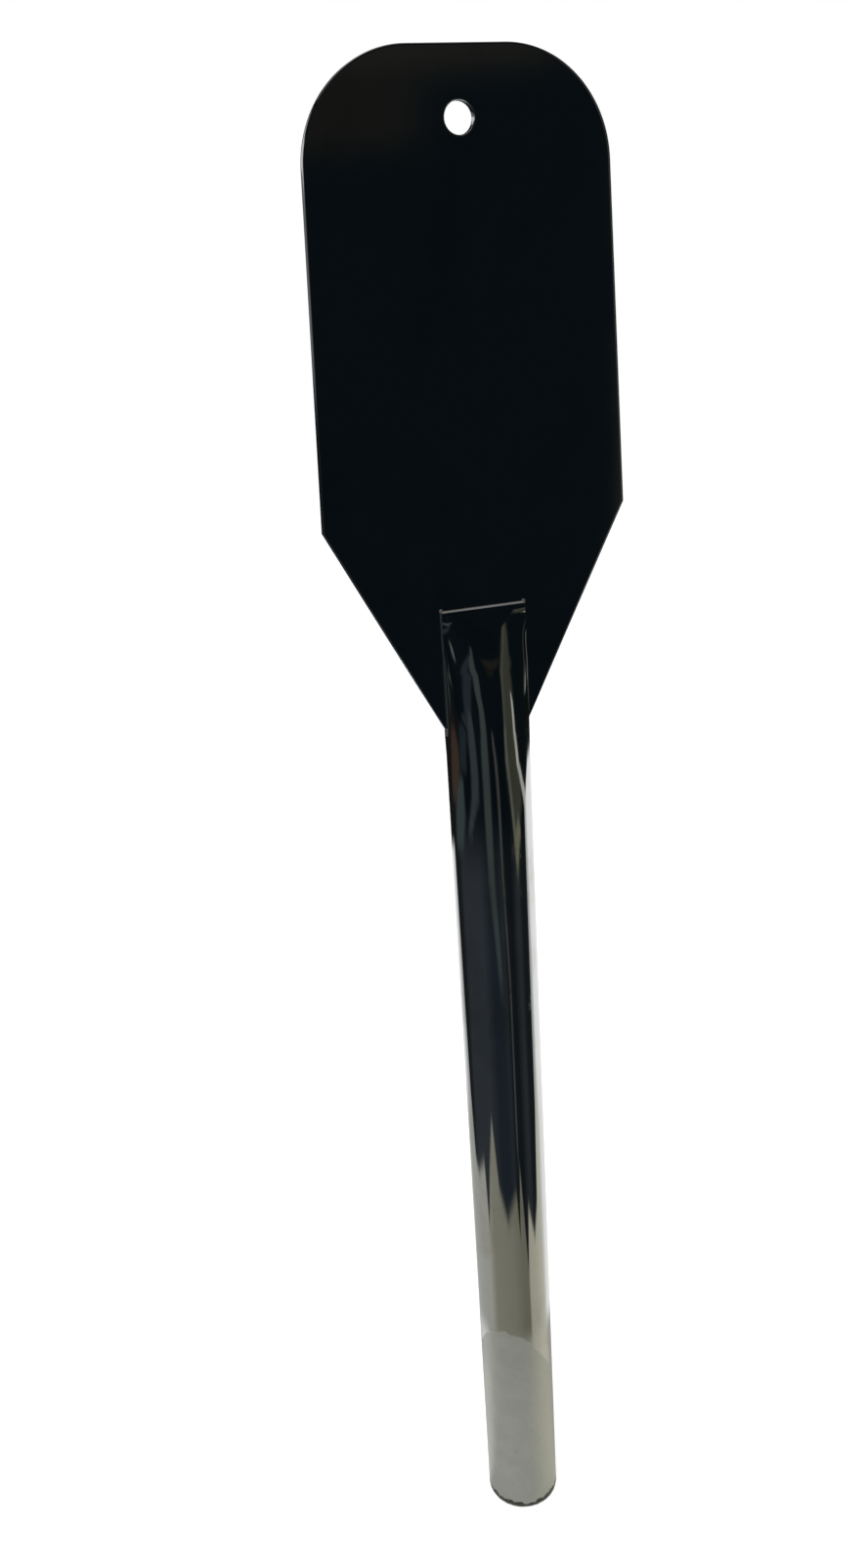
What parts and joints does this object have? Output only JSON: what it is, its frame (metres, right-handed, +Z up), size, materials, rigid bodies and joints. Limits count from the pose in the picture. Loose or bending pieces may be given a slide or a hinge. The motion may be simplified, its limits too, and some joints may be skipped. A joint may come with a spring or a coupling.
{
  "type": "stirring paddle",
  "caption": "Polished stainless stirring paddle: flared sheet blade with a hanging hole, held in the slit and pressed end of a round tube handle.",
  "frame": {"origin": "centre of the hanging hole, in the middle of the blade's thickness", "axes": "+Z up the handle to the blade as it hangs by its hole turned blade up, +X across the blade, -Y out of the front face"},
  "size_m": [0.113, 0.032, 0.6103],
  "materials": {
    "blade_steel": "mirror polished stainless sheet",
    "handle_steel": "mirror polished stainless tube, duller towards the foot",
    "weld_bead": "small stainless weld beads, wire brushed",
    "cap_steel": "satin ground stainless disc",
    "cap_weld": "ground weld with dark pits"
  },
  "bodies": {
    "root": {"blade": "blade_steel", "handle_tube": "handle_steel", "slot_weld_left": "weld_bead", "slot_weld_right": "weld_bead", "mouth_tacks": "weld_bead", "end_cap": "cap_steel", "end_cap_weld": "cap_weld"}
  },
  "joints": []
}
